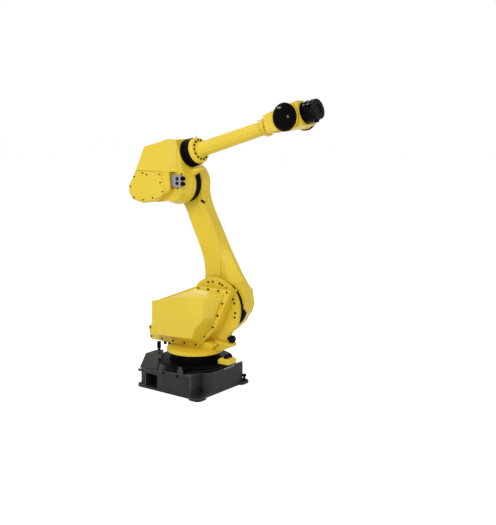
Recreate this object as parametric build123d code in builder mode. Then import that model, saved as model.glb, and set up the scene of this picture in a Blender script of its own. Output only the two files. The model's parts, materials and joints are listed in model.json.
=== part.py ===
from build123d import *
from math import cos, radians, sin
import os

# Six-axis industrial robot arm on a cast floor base, millimetres.
# +X is forward, +Y is the robot's left and +Z is up. The origin is where the first axis meets the floor.
# The pieces stand in the posture that the machine holds at rest: upper arm leaning back, forearm raised.

# Chain of axes
shoulder_reach = 150.0
shoulder_height = 565.0
upper_arm_length = 870.0
upper_arm_lean = 18.0
elbow_offset = 170.0
forearm_length = 1016.0
forearm_elevation = 16.3
wrist_length = 175.0

# Base casting
base_front = 237.0
base_rear = 315.0
base_half_width = 258.0
base_front_height = 158.0
base_rear_height = 128.0
base_top_break = 60.0
base_corner_radius = 26.0
base_hub_radius = 214.0
base_hub_height = 165.0
foot_thickness = 20.0
foot_half_side = 50.0
foot_corner_radius = 30.0
foot_front_x = 210.0
foot_rear_x = 280.0
foot_y = base_half_width - 26.0
foot_bolt_diameter = 22.0
foot_dowel_diameter = 12.0
foot_dowel_step = 26.0
relief_length = 64.0
relief_width = 98.0
relief_post_radius = 54.0
far_pocket_length = 90.0
far_pocket_width = 82.0
far_wall_thickness = 16.0
far_wall_end = 226.0
rear_pocket_depth = 66.0
rear_pocket_width = 44.0
corner_boss_radius = 24.0
corner_boss_setback = 84.0
corner_boss_inset = 26.0
corner_boss_rise = 6.0
window_front_x = -120.0
window_rear_x = -231.0
window_sill = 14.0
window_head = 112.0
window_depth = 95.0
panel_front_x = -250.0
panel_rear_x = -302.0
panel_depth = 4.0
groove_x = -83.0
groove_width = 9.0
rear_opening_width = 180.0
rear_opening_height = 70.0
rear_opening_depth = 60.0
rear_opening_round = 12.0

# Disc and drum of the first axis
disc_radius = 256.0
disc_top = 203.0
disc_lip_height = 16.0
disc_neck_radius = 226.0
disc_foot_radius = 214.0
drum_radius = 172.0
drum_rib_radius = 178.0
drum_rib_height = 12.0

# Cable bracket and post at the rear right corner
bracket_near_y = -232.0
bracket_bend_y = -168.0
bracket_far_y = -34.0
bracket_rear_x = -308.0
bracket_front_x = -160.0
bracket_front_cut = 34.0
bracket_height = 216.0
bracket_sheet = 8.0
post_x = -290.0
post_y = -52.0
post_radius = 14.0
post_neck_radius = 9.0
post_neck_height = 14.0
post_top = 277.0

# First-axis stop on the base
stop_radius = 226.0
stop_length = 84.0
stop_width = 96.0
stop_height = 38.0
stop_angle = 3.0
stop_chamfer = 12.0
buffer_radius = 11.0
buffer_length = 20.0

# Turret casting
ring_radius = 196.0
ring_bottom = disc_top + 55.0
ring_height = 17.0
waist_radius = 174.0
waist_shoulder = 12.0
waist_top = 290.0
turret_far_y = 50.0
turret_near_y = -40.0
boss_radius = 210.0
boss_face_y = 28.0
neck_top = 335.0
neck_centre_x = 75.0
neck_length = 300.0
neck_inset = 2.0
neck_round = 20.0
rubber_radius = 26.0
rubber_length = 54.0
rubber_y = 14.0
rubber_z = 374.0
rubber_seat_x = 262.0
rubber_round = 9.0
rubber_setback = 30.0
shelf_margin = 4.0
stop_shelf_height = 22.0
stop_shelf_length = 62.0

# Motor cover on the turret
cover_bottom = 285.0
cover_top_rise = 154.0
cover_flange_thickness = 12.0
cover_face_y = -180.0

# Upper arm
arm_near_y = 66.0
arm_web_far_y = 150.0
arm_bevel_far_y = 122.0
arm_hub_far_y = 212.0
arm_hub_radius = 168.0
arm_hub_draft = 6.0
arm_shoulder_radius = 186.0
arm_crest_radius = 206.0
arm_crest_foot = 40.0
arm_bevel_margin = 8.0
arm_elbow_radius = 140.0
shoulder_seal_radius = 203.0
shoulder_seal_bore = 150.0
elbow_drum_radius = 130.0
# Height along the arm, distance of the near ridge from the arm's line and distance of the front edge
bevel_stations = (
    (480.0, 144.0, 147.0),
    (400.0, 141.0, 161.0),
    (314.0, 135.0, 179.0),
    (120.0, 118.0, 232.0),
)
slot_length = 38.0
slot_width = 11.0
slot_depth = 10.0
slot_perp = 98.0
slot_along = 712.0
slot_angle = -45.0
hub_cap_radius = 140.0
hub_cap_height = 14.0
elbow_cap_radius = 104.0
elbow_cap_height = 12.0
cap_chamfer = 4.0

# Elbow housing
elbow_boss_radius = 138.0
elbow_rim_y = 5.0
elbow_near_y = -102.0
elbow_face_y = -146.0
elbow_boss_near_radius = 114.0
elbow_boss_straight = 40.0
elbow_far_y = 58.0
elbow_body_tilt = 16.3
elbow_cover_y = -150.0
side_cover_y = -152.0
elbow_cover_chamfer = 2.0
elbow_split_z = 86.0
carrier_radius = 101.0
carrier_start = -30.0
carrier_end = 140.0
carrier_left_start = 70.0
carrier_chamfer = 12.0
elbow_lug_width = 40.0
arm_sweep_clearance = 10.0
roll_ring_radius = 94.0
roll_ring_groove = 88.0
roll_ring_length = 66.0
roll_groove_start = 25.0
roll_groove_end = 35.0
roll_groove_edge = 2.0
roll_ring_fall = 3.0
panel_length = 84.0
panel_height = 78.0
panel_thickness = 22.0
panel_left_x = 30.0
panel_centre_z = 27.0
plug_radius = 10.0
plug_length = 26.0
plug_step = 36.0

# Forearm
forearm_flange_radius = 87.0
forearm_flange_length = 33.0
forearm_flange_edge = 3.0
forearm_flange_slope = 12.0
forearm_flange_fall = 8.0
tube_root_radius = 50.0
tube_tip_radius = 46.0
tube_blend = 14.0
tube_end = forearm_length - 231.0
yoke_collar_radius = 60.0
yoke_collar_length = 26.0
yoke_shoulder_start = forearm_length - 154.0
yoke_half_height = 52.0
yoke_neck_side = 102.0
yoke_neck_round = 40.0
yoke_shoulder_round = 30.0
cheek_tangent_inset = 8.0
cheek_inner = 79.0
cheek_outer = 108.0
cheek_radius = 78.0
slot_sweep_radius = 157.0
cap_radius = 85.5
cap_thickness = 12.0
cap_dome = 10.0
cap_rim = 14.0
cap_crown = 0.85
cap_edge_radial = 3.0
cap_edge_deep = 6.0
cap_edge_shallow = 2.0
nipple_radius = 5.0
nipple_height = 12.0
nipple_sink = 1.0
nipple_tube_s = tube_end - 43.0
nipple_flange_s = 228.0

# Wrist
wrist_half_width = 74.0
wrist_hub_radius = 76.0
wrist_boss_radius = 56.0
wrist_block_half_height = 76.0
wrist_block_end = 84.0
wrist_hub_inset = 2.0
tool_unit_radius = 70.0
tool_unit_tip_radius = 64.0
tool_unit_end = 160.0
tool_unit_chamfer = 6.0
tool_unit_step_start = 38.0
tool_unit_step_end = 46.0
tool_unit_tip_rim = 2.0
tab_width = 22.0
tab_length = 20.0
tab_drop = 11.0

# Tool flange
tool_flange_radius = 62.5
tool_flange_gap = 0.5
pilot_diameter = 63.0
pilot_depth = 6.0
tool_pcd = 100.0
tool_bolt_count = 6
tool_bolt_core_diameter = 6.8
tool_bolt_depth = 12.0
tool_dowel_diameter = 8.0
tool_dowel_angle = 30.0

# Seats: flat faces on different bodies stand this far apart
running_gap = 0.4
seat_gap = 0.3

# Axis points worked out from the chain
lean = radians(upper_arm_lean)
rise = radians(forearm_elevation)
shoulder = Vector(shoulder_reach, 0, shoulder_height)
elbow = shoulder + Vector(-sin(lean), 0, cos(lean)) * upper_arm_length
arm_dir = Vector(-sin(lean), 0, cos(lean))
arm_across = Vector(cos(lean), 0, sin(lean))
forearm_dir = Vector(cos(rise), 0, sin(rise))
forearm_up = Vector(-sin(rise), 0, cos(rise))
forearm_root = elbow + forearm_up * elbow_offset
wrist = forearm_root + forearm_dir * forearm_length


def side_plane(y):
    """Plane at distance y to the left, seen from the right: local x is forward and local y is up."""
    return Plane(origin=(0, y, 0), x_dir=(1, 0, 0), z_dir=(0, -1, 0))


def arm_plane(y):
    """Side plane of the upper arm: origin on the shoulder axis, local y runs to the elbow."""
    return Plane(origin=(shoulder.X, y, shoulder.Z), x_dir=(cos(lean), 0, sin(lean)), z_dir=(0, -1, 0))


def elbow_plane(y):
    """Side plane of the elbow housing, whose edges are turned back from the forearm by the body tilt."""
    turn = radians(forearm_elevation - elbow_body_tilt)
    return Plane(origin=(elbow.X, y, elbow.Z), x_dir=(cos(turn), 0, sin(turn)), z_dir=(0, -1, 0))


def forearm_plane(y):
    """Side plane of the forearm: local x runs along the forearm from its root."""
    return Plane(origin=(forearm_root.X, y, forearm_root.Z), x_dir=forearm_dir, z_dir=(0, -1, 0))


def wrist_plane(y):
    """Side plane of the wrist: origin on the bending axis, local x towards the tool."""
    return Plane(origin=(wrist.X, y, wrist.Z), x_dir=forearm_dir, z_dir=(0, -1, 0))


def roll_plane(s):
    """Plane square to the forearm at distance s from its root: local x points to the right side."""
    centre = forearm_root + forearm_dir * s
    return Plane(origin=centre, x_dir=(0, -1, 0), z_dir=forearm_dir)


def base_top(x):
    """Height of the sloping top of the base casting at x, rear of its break."""
    return base_rear_height + (x + base_rear) * (base_front_height - base_rear_height) / (
        base_top_break + base_rear
    )


forearm_axis = Axis(forearm_root, forearm_dir)
wrist_axis = Axis(wrist, (0, -1, 0))
turn_axis = Axis((0, 0, 0), (0, 0, 1))

# Base: one casting with four foot pads, corner reliefs over the front feet and a round hub on top
foot_points = [(x, y) for x in (foot_front_x, -foot_rear_x) for y in (foot_y, -foot_y)]
front_feet = foot_points[:2]

with BuildPart() as base_casting:
    with BuildSketch(side_plane(base_half_width)):
        with BuildLine():
            Polyline(
                (-base_rear, 0),
                (base_front, 0),
                (base_front, base_front_height),
                (base_top_break, base_front_height),
                (-base_rear, base_rear_height),
                close=True,
            )
        make_face()
    extrude(amount=2 * base_half_width)
    fillet(base_casting.edges().filter_by(Axis.Z), base_corner_radius)
    with BuildSketch(Plane.XY.offset(foot_thickness)):
        Circle(base_hub_radius)
    extrude(amount=base_hub_height - foot_thickness)
    with BuildSketch(Plane.XY.offset(foot_thickness)):
        with Locations((base_front, -base_half_width)):
            Rectangle(2 * relief_length, 2 * relief_width)
    extrude(amount=base_front_height, mode=Mode.SUBTRACT)
    relief_corner = base_casting.edges().filter_by(Axis.Z).sort_by_distance(
        (base_front, relief_width - base_half_width, base_front_height / 2)
    )[0]
    fillet(relief_corner, relief_post_radius)
    with BuildSketch(Plane.XY.offset(foot_thickness)):
        with Locations((base_front - far_wall_thickness - far_pocket_length / 2, base_half_width)):
            Rectangle(far_pocket_length, 2 * far_pocket_width)
        with Locations((base_front, base_half_width)):
            Rectangle(2 * far_wall_thickness, 2 * (base_half_width - far_wall_end))
    extrude(amount=base_front_height, mode=Mode.SUBTRACT)
    with BuildSketch(Plane.XY.offset(base_rear_height / 2)):
        with Locations((base_front - corner_boss_setback, corner_boss_inset - base_half_width)):
            Circle(corner_boss_radius)
    extrude(amount=base_front_height + corner_boss_rise - base_rear_height / 2)
    with BuildSketch(Plane.XY.offset(foot_thickness)):
        with Locations((-base_rear, foot_y), (-base_rear, -foot_y)):
            Rectangle(2 * rear_pocket_depth, rear_pocket_width)
    extrude(amount=base_front_height, mode=Mode.SUBTRACT)
    with BuildSketch(Plane.XY):
        with Locations(*front_feet):
            RectangleRounded(2 * foot_half_side, 2 * foot_half_side, foot_corner_radius)
    extrude(amount=foot_thickness)
    with BuildSketch(side_plane(-base_half_width)):
        with Locations(((window_front_x + window_rear_x) / 2, (window_sill + window_head) / 2)):
            Rectangle(window_front_x - window_rear_x, window_head - window_sill)
    extrude(amount=-window_depth, mode=Mode.SUBTRACT)
    with BuildSketch(side_plane(-base_half_width)):
        with Locations(((panel_front_x + panel_rear_x) / 2, (window_sill + window_head) / 2)):
            Rectangle(panel_front_x - panel_rear_x, window_head - window_sill)
        with Locations((groove_x, (window_sill + window_head) / 2)):
            Rectangle(groove_width, window_head - window_sill)
    extrude(amount=-panel_depth, mode=Mode.SUBTRACT)
    with BuildSketch(Plane.YZ.offset(-base_rear)):
        with Locations((0, base_rear_height / 2)):
            RectangleRounded(rear_opening_width, rear_opening_height, rear_opening_round)
    extrude(amount=rear_opening_depth, mode=Mode.SUBTRACT)
    with Locations(*[(x, y, foot_thickness) for x, y in foot_points]):
        Hole(foot_bolt_diameter / 2, depth=foot_thickness)
    with Locations(
        *[(x + foot_dowel_step, y - (foot_dowel_step if y > 0 else -foot_dowel_step), foot_thickness)
          for x, y in front_feet]
    ):
        Hole(foot_dowel_diameter / 2, depth=foot_thickness)

with BuildPart() as base_disc:
    with BuildSketch(Plane.XZ):
        with BuildLine():
            Polyline(
                (0, base_hub_height),
                (disc_foot_radius, base_hub_height),
                (disc_neck_radius, disc_top - disc_lip_height),
                (disc_radius, disc_top - disc_lip_height),
                (disc_radius, disc_top),
                (0, disc_top),
                close=True,
            )
        make_face()
    revolve(axis=turn_axis)

with BuildPart() as base_drum:
    with BuildSketch(Plane.XY.offset(disc_top)):
        Circle(drum_radius)
    extrude(amount=ring_bottom - running_gap - disc_top)
    with BuildSketch(Plane.XY.offset(disc_top)):
        Circle(drum_rib_radius)
    extrude(amount=drum_rib_height)

with BuildPart() as cable_bracket:
    with BuildSketch(Plane.YZ.offset(bracket_rear_x)):
        with BuildLine():
            Polyline(
                (bracket_near_y, base_rear_height),
                (bracket_bend_y, bracket_height),
                (bracket_far_y, bracket_height),
                (bracket_far_y, bracket_height - bracket_sheet),
                (bracket_bend_y + bracket_sheet, bracket_height - bracket_sheet),
                (bracket_near_y + 2 * bracket_sheet, base_rear_height),
                close=True,
            )
        make_face()
    extrude(amount=bracket_front_x - bracket_rear_x)
    with BuildSketch(Plane.XY.offset(bracket_height - 2 * bracket_sheet)):
        with BuildLine():
            Polyline(
                (bracket_front_x, bracket_bend_y),
                (bracket_front_x, bracket_far_y),
                (bracket_front_x - bracket_front_cut * 3, bracket_far_y),
                (bracket_front_x - bracket_front_cut * 2, bracket_bend_y / 2),
                close=True,
            )
        make_face()
    extrude(amount=3 * bracket_sheet, mode=Mode.SUBTRACT)
    add(base_casting.part, mode=Mode.SUBTRACT)
    add(base_disc.part, mode=Mode.SUBTRACT)

with BuildPart() as cable_post:
    with BuildSketch(Plane.XY.offset(bracket_height)):
        with Locations((post_x, post_y)):
            Circle(post_neck_radius)
    extrude(amount=post_neck_height)
    with BuildSketch(Plane.XY.offset(bracket_height + post_neck_height)):
        with Locations((post_x, post_y)):
            Circle(post_radius)
    extrude(amount=post_top - bracket_height - post_neck_height)

stop_plane = Plane(
    origin=(0, 0, disc_top),
    x_dir=(cos(radians(stop_angle)), sin(radians(stop_angle)), 0),
    z_dir=(0, 0, 1),
)

with BuildPart() as turn_stop:
    with BuildSketch(stop_plane):
        with Locations((stop_radius + stop_length / 2, 0)):
            Rectangle(stop_length, stop_width)
    extrude(amount=stop_height)
    chamfer(turn_stop.faces().sort_by(Axis.Z)[-1].edges(), stop_chamfer)

with BuildPart() as stop_buffers:
    with BuildSketch(stop_plane.offset(stop_height)):
        with Locations(
            (stop_radius + stop_length / 2, stop_width / 4),
            (stop_radius + stop_length / 2, -stop_width / 4),
        ):
            Circle(buffer_radius)
    extrude(amount=buffer_length / 2)

# Turret: waist ring, rear body and the round shoulder boss
with BuildPart() as turret_casting:
    with BuildSketch(side_plane(turret_far_y)):
        with BuildLine():
            Polyline(
                (-366, cover_bottom + 90),
                (-356, cover_bottom + 7),
                (56, cover_bottom + 7),
                (136, cover_bottom + 85),
                (210, cover_bottom + 160),
                (252, shoulder_height - 28),
                (292, shoulder_height + 58),
                (332, shoulder_height + cover_top_rise - 8),
                (70, shoulder_height + cover_top_rise - 8),
                (-330, shoulder_height + 52),
                (-338, cover_bottom + 120),
                close=True,
            )
        make_face()
    extrude(amount=turret_far_y - turret_near_y)
    with BuildSketch(side_plane(turret_far_y)):
        with Locations((shoulder_reach, shoulder_height)):
            Circle(boss_radius)
        with BuildLine():
            Polyline(
                (60, cover_bottom + 110),
                (shoulder_reach + boss_radius - 16, shoulder_height - 70),
                (310, shoulder_height - 108),
                (280, cover_bottom + 108),
                (250, cover_bottom + 48),
                (214, cover_bottom + 8),
                (0, cover_bottom + 8),
                close=True,
            )
        make_face()
    extrude(amount=turret_far_y - boss_face_y)
    with BuildSketch(side_plane(rubber_y + rubber_radius + shelf_margin)):
        with Locations((rubber_seat_x, rubber_z - rubber_radius - stop_shelf_height / 2)):
            Rectangle(stop_shelf_length * 2, stop_shelf_height)
    extrude(amount=2 * (rubber_radius + shelf_margin))
    with BuildSketch(Plane.XZ):
        with BuildLine():
            Polyline(
                (0, ring_bottom),
                (ring_radius, ring_bottom),
                (ring_radius, ring_bottom + ring_height),
                (waist_radius, ring_bottom + ring_height + waist_shoulder),
                (waist_radius, waist_top),
                (0, waist_top),
                close=True,
            )
        make_face()
    revolve(axis=turn_axis)
    with BuildSketch(Plane.XY.offset(waist_top)):
        Circle(waist_radius)
    with BuildSketch(Plane.XY.offset(neck_top)):
        with Locations((neck_centre_x, (turret_far_y + turret_near_y) / 2)):
            RectangleRounded(neck_length, turret_far_y - turret_near_y - 2 * neck_inset, neck_round)
    loft()
    with BuildSketch(Plane.XY.offset(cover_bottom - seat_gap)):
        with Locations((0, turret_near_y - ring_radius / 2)):
            Rectangle(2 * ring_radius, ring_radius)
    extrude(amount=2 * (neck_top - cover_bottom), mode=Mode.SUBTRACT)

with BuildPart() as stop_rubber:
    with BuildSketch(Plane.YZ.offset(rubber_seat_x + rubber_setback)):
        with Locations((rubber_y, rubber_z)):
            Circle(rubber_radius)
    extrude(amount=rubber_length)
    fillet(stop_rubber.faces().sort_by(Axis.X)[-1].edges(), rubber_round)

with BuildPart() as motor_cover:
    with BuildSketch(side_plane(turret_near_y)):
        with BuildLine():
            Polyline(
                (-386, cover_bottom + 90),
                (-375, cover_bottom + 12),
                (-362, cover_bottom),
                (58, cover_bottom),
                (142, cover_bottom + 82),
                (218, cover_bottom + 158),
                (262, shoulder_height - 34),
                (302, shoulder_height + 54),
                (342, shoulder_height + cover_top_rise - 12),
                (332, shoulder_height + cover_top_rise),
                (66, shoulder_height + cover_top_rise),
                (-330, shoulder_height + 62),
                (-338, cover_bottom + 128),
                close=True,
            )
        make_face()
    extrude(amount=cover_flange_thickness)
    with BuildSketch(side_plane(turret_near_y - cover_flange_thickness)):
        with BuildLine():
            Polyline(
                (-325, shoulder_height + 56),
                (52, shoulder_height + cover_top_rise - 14),
                (300, shoulder_height + cover_top_rise - 20),
                (214, shoulder_height - 60),
                (138, cover_bottom + 102),
                (20, cover_bottom + 42),
                (-335, cover_bottom + 68),
                close=True,
            )
        make_face()
    with BuildSketch(side_plane(cover_face_y)):
        with BuildLine():
            Polyline(
                (-234, shoulder_height + 36),
                (41, shoulder_height + 96),
                (222, shoulder_height + 104),
                (221, shoulder_height - 94),
                (152, cover_bottom + 92),
                (104, cover_bottom + 84),
                (-238, cover_bottom + 76),
                close=True,
            )
        make_face()
    loft(ruled=True)

# Upper arm: a tapering casting between two hubs
with BuildPart() as arm_casting:
    with BuildSketch(arm_plane(arm_web_far_y)):
        with BuildLine():
            rear_edge = Spline(
                (-128, upper_arm_length - 58), (-72, upper_arm_length - 128), (-54, upper_arm_length - 219),
                (-42, upper_arm_length - 315), (-28, 466), (-19, 366), (-28, 279), (-62, 190), (-150, 110),
            )
            front_edge = Spline(
                (126, upper_arm_length - 58), (110, upper_arm_length - 130), (113, upper_arm_length - 204),
                (126, upper_arm_length - 280), (143, 500), (160, 400), (184, 290), (212, 180), (248, 76),
            )
            Polyline(
                front_edge @ 1, (262, 62), (246, -40), (206, -90), (150, -122), (70, -150), (-120, -60),
                rear_edge @ 1,
            )
            Line(rear_edge @ 0, front_edge @ 0)
        make_face()
        with Locations((0, 0)):
            Circle(arm_shoulder_radius)
        with Locations((0, upper_arm_length)):
            Circle(arm_elbow_radius)
    extrude(amount=arm_web_far_y - arm_near_y)
    with BuildSketch(arm_plane(arm_hub_far_y)):
        Circle(arm_hub_radius)
    extrude(amount=arm_hub_far_y - arm_web_far_y, taper=-arm_hub_draft)
    for along, ridge, edge in bevel_stations:
        with BuildSketch(Plane(origin=shoulder + arm_dir * along, x_dir=arm_across, z_dir=arm_dir)):
            with BuildLine():
                Polyline(
                    (ridge, arm_near_y),
                    (2 * edge - ridge, 2 * arm_bevel_far_y - arm_near_y),
                    (2 * edge - ridge, arm_near_y - arm_bevel_margin),
                    close=True,
                )
            make_face()
    loft(ruled=True, mode=Mode.SUBTRACT)
    with BuildSketch(arm_plane(arm_bevel_far_y)):
        Circle(arm_crest_radius)
        with Locations((0, arm_crest_radius)):
            Rectangle(2 * arm_crest_radius, 2 * (arm_crest_radius - arm_crest_foot), mode=Mode.INTERSECT)
    extrude(amount=arm_bevel_far_y - arm_near_y)
    with BuildSketch(arm_plane(arm_near_y)):
        with Locations((slot_perp, slot_along)):
            SlotOverall(slot_length, slot_width, rotation=slot_angle)
    extrude(amount=-slot_depth, mode=Mode.SUBTRACT)

with BuildPart() as shoulder_seal:
    with BuildSketch(arm_plane(arm_near_y)):
        Circle(shoulder_seal_radius)
        Circle(shoulder_seal_bore, mode=Mode.SUBTRACT)
    extrude(amount=arm_near_y - turret_far_y - running_gap)

with BuildPart() as elbow_drum:
    with BuildSketch(arm_plane(arm_near_y)):
        with Locations((0, upper_arm_length)):
            Circle(elbow_drum_radius)
    extrude(amount=arm_near_y - elbow_rim_y - running_gap)

with BuildPart() as shoulder_cap:
    with BuildSketch(arm_plane(arm_hub_far_y)):
        Circle(hub_cap_radius)
    extrude(amount=-hub_cap_height)
    chamfer(shoulder_cap.faces().sort_by(Axis.Y)[-1].edges(), cap_chamfer)

with BuildPart() as elbow_cap:
    with BuildSketch(arm_plane(arm_web_far_y)):
        with Locations((0, upper_arm_length)):
            Circle(elbow_cap_radius)
    extrude(amount=-elbow_cap_height)
    chamfer(elbow_cap.faces().sort_by(Axis.Y)[-1].edges(), cap_chamfer)

# Elbow housing: boss on the elbow axis, carrier of the roll axis and the motor space behind
with BuildPart() as elbow_casting:
    with BuildSketch(forearm_plane(0)):
        with BuildLine():
            Polyline(
                (carrier_start, 0),
                (carrier_start, carrier_radius - carrier_chamfer),
                (carrier_start + carrier_chamfer, carrier_radius),
                (carrier_end, carrier_radius),
                (carrier_end, 0),
                close=True,
            )
        make_face()
    revolve(axis=forearm_axis)
    with BuildSketch(forearm_plane(2 * carrier_radius)):
        with Locations((carrier_left_start - carrier_radius, 0)):
            Rectangle(2 * carrier_radius, 2 * carrier_radius)
    extrude(amount=2 * carrier_radius - elbow_far_y, mode=Mode.SUBTRACT)
    with BuildSketch(elbow_plane(elbow_far_y)):
        with BuildLine():
            Polyline(
                (-326, -14), (-262, elbow_split_z), (-188, 240), (-34, 296), (57, 297), (113, 106), (126, 60),
                (116, -20), (60, -80), (-80, -122), (-203, -130), (-300, -106), (-328, -60),
                close=True,
            )
        make_face()
    extrude(amount=elbow_far_y - elbow_near_y)
    with BuildSketch(elbow_plane(arm_web_far_y)):
        Circle(arm_elbow_radius + arm_sweep_clearance)
    extrude(amount=arm_web_far_y - elbow_rim_y, mode=Mode.SUBTRACT)
    with BuildSketch(Plane(origin=elbow, x_dir=(1, 0, 0), z_dir=(0, 0, 1))):
        with BuildLine():
            Polyline(
                (0, elbow_rim_y),
                (elbow_boss_radius, elbow_rim_y),
                (elbow_boss_radius, elbow_rim_y - elbow_boss_straight),
                (elbow_boss_near_radius, elbow_near_y),
                (0, elbow_near_y),
                close=True,
            )
        make_face()
    revolve(axis=Axis(elbow, (0, 1, 0)))
    with BuildSketch(elbow_plane(elbow_near_y)):
        with BuildLine():
            Polyline(
                (-328, -20), (-264, elbow_split_z), (18, elbow_split_z), (20, 8), (18, -40),
                (-106, -122), (-203, -130), (-302, -108), (-330, -60),
                close=True,
            )
        make_face()
    with BuildSketch(elbow_plane(elbow_face_y)):
        with BuildLine():
            Polyline(
                (-336, -22), (-268, elbow_split_z), (28, elbow_split_z), (38, 8), (36, -32),
                (-110, -120), (-205, -134), (-306, -112), (-338, -62),
                close=True,
            )
        make_face()
    loft(ruled=True)
    with BuildSketch(elbow_plane(elbow_rim_y)):
        with BuildLine():
            Polyline((90, 100), (112, 104), (222, 114), (186, 90), (100, 40), close=True)
        make_face()
    extrude(amount=elbow_lug_width)

with BuildPart() as elbow_rear_cover:
    with BuildSketch(elbow_plane(elbow_near_y)):
        with BuildLine():
            Polyline(
                (-262, elbow_split_z), (-188, 240), (-34, 294), (60, 296), (64, elbow_split_z),
                close=True,
            )
        make_face()
    with BuildSketch(elbow_plane(elbow_cover_y)):
        with BuildLine():
            Polyline(
                (-266, elbow_split_z), (-185, 246), (-60, 277), (24, 296), (27, elbow_split_z),
                close=True,
            )
        make_face()
    loft(ruled=True)

with BuildPart() as elbow_side_cover:
    with BuildSketch(elbow_plane(elbow_face_y)):
        with BuildLine():
            Polyline(
                (-330, -24), (-264, 80), (-34, 80), (-24, 10), (-4, -54),
                (-112, -114), (-204, -128), (-303, -107), (-332, -60),
                close=True,
            )
        make_face()
    extrude(amount=elbow_face_y - side_cover_y)
    chamfer(elbow_side_cover.faces().sort_by(Axis.Y)[0].edges(), elbow_cover_chamfer)

with BuildPart() as connector_panel:
    with BuildSketch(elbow_plane(elbow_near_y)):
        with Locations((panel_left_x + panel_length / 2, panel_centre_z)):
            Rectangle(panel_length, panel_height)
    extrude(amount=panel_thickness)

plug_plane = Plane(
    origin=elbow + Vector(panel_left_x + panel_length, elbow_near_y - panel_thickness / 2, panel_centre_z),
    x_dir=(0, 1, 0),
    z_dir=(1, 0, 0),
)

with BuildPart() as panel_connectors:
    with BuildSketch(plug_plane):
        with Locations((0, plug_step / 2), (0, -plug_step / 2)):
            Circle(plug_radius)
    extrude(amount=plug_length)

with BuildPart() as roll_ring:
    with BuildSketch(forearm_plane(0)):
        with BuildLine():
            Polyline(
                (carrier_end, 0),
                (carrier_end, roll_ring_radius),
                (carrier_end + roll_groove_start - roll_groove_edge, roll_ring_radius),
                (carrier_end + roll_groove_start, roll_ring_groove),
                (carrier_end + roll_groove_end, roll_ring_groove),
                (carrier_end + roll_groove_end + roll_groove_edge, roll_ring_radius),
                (carrier_end + roll_ring_length, roll_ring_radius - roll_ring_fall),
                (carrier_end + roll_ring_length, 0),
                close=True,
            )
        make_face()
    revolve(axis=forearm_axis)

# Forearm: flange, slender tube and the yoke that holds the wrist
flange_start = carrier_end + roll_ring_length + running_gap
flange_end = flange_start + forearm_flange_length

with BuildPart() as forearm_flange:
    with BuildSketch(forearm_plane(0)):
        with BuildLine():
            Polyline(
                (flange_start, 0),
                (flange_start, forearm_flange_radius - forearm_flange_edge),
                (flange_start + forearm_flange_edge, forearm_flange_radius),
                (flange_end - forearm_flange_slope, forearm_flange_radius),
                (flange_end, forearm_flange_radius - forearm_flange_fall),
                (flange_end, 0),
                close=True,
            )
        make_face()
    revolve(axis=forearm_axis)

with BuildPart() as forearm_tube:
    with BuildSketch(forearm_plane(0)):
        with BuildLine():
            Polyline(
                (flange_end, 0),
                (flange_end, tube_root_radius + tube_blend / 2),
                (flange_end + tube_blend, tube_root_radius),
                (tube_end, tube_tip_radius),
                (tube_end, 0),
                close=True,
            )
        make_face()
    revolve(axis=forearm_axis)

with BuildPart() as wrist_yoke:
    with BuildSketch(roll_plane(tube_end)):
        Circle(yoke_collar_radius)
    extrude(amount=yoke_collar_length)
    with BuildSketch(roll_plane(tube_end + yoke_collar_length)):
        RectangleRounded(yoke_neck_side, yoke_neck_side, yoke_neck_round)
    with BuildSketch(roll_plane(yoke_shoulder_start)):
        RectangleRounded(2 * cheek_outer, 2 * yoke_half_height, yoke_shoulder_round)
    loft()
    with BuildSketch(wrist_plane(cheek_outer)):
        with BuildLine():
            Polyline(
                (yoke_shoulder_start - forearm_length, yoke_half_height),
                (0, cheek_radius - cheek_tangent_inset),
                (0, -cheek_radius + cheek_tangent_inset),
                (yoke_shoulder_start - forearm_length, -yoke_half_height),
                close=True,
            )
        make_face()
        Circle(cheek_radius)
    extrude(amount=2 * cheek_outer)
    with BuildSketch(wrist_plane(cheek_inner)):
        Circle(slot_sweep_radius)
    extrude(amount=2 * cheek_inner, mode=Mode.SUBTRACT)


def bending_cap(side):
    """Domed cover over the bending axis, on the right for -1 and on the left for 1."""
    with BuildPart() as cap:
        with BuildSketch(Plane(origin=wrist, x_dir=forearm_up, z_dir=forearm_dir)):
            with BuildLine():
                Polyline(
                    (cap_radius - cap_rim, side * (cheek_outer + cap_thickness + cap_dome / 2)),
                    (cap_radius - cap_edge_radial, side * (cheek_outer + cap_thickness - cap_edge_shallow)),
                    (cap_radius, side * (cheek_outer + cap_thickness - cap_edge_deep)),
                    (cap_radius, side * cheek_outer),
                    (0, side * cheek_outer),
                    (0, side * (cheek_outer + cap_thickness + cap_dome)),
                )
                ThreePointArc(
                    (0, side * (cheek_outer + cap_thickness + cap_dome)),
                    (cap_radius / 2, side * (cheek_outer + cap_thickness + cap_crown * cap_dome)),
                    (cap_radius - cap_rim, side * (cheek_outer + cap_thickness + cap_dome / 2)),
                )
            make_face()
        revolve(axis=wrist_axis)
    return cap


bending_cap_right = bending_cap(-1)
bending_cap_left = bending_cap(1)


def nipple(s, seat_radius):
    """Grease nipple standing on top of the forearm at distance s."""
    base = forearm_root + forearm_dir * s + forearm_up * (seat_radius - nipple_sink)
    with BuildPart() as fitting:
        with BuildSketch(Plane(origin=base, x_dir=(0, -1, 0), z_dir=forearm_up)):
            Circle(nipple_radius)
        extrude(amount=nipple_height)
    return fitting


flange_nipple = nipple(nipple_flange_s, forearm_flange_radius + nipple_sink)
tube_nipple = nipple(nipple_tube_s, tube_tip_radius + 1.5 * nipple_sink)

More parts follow.
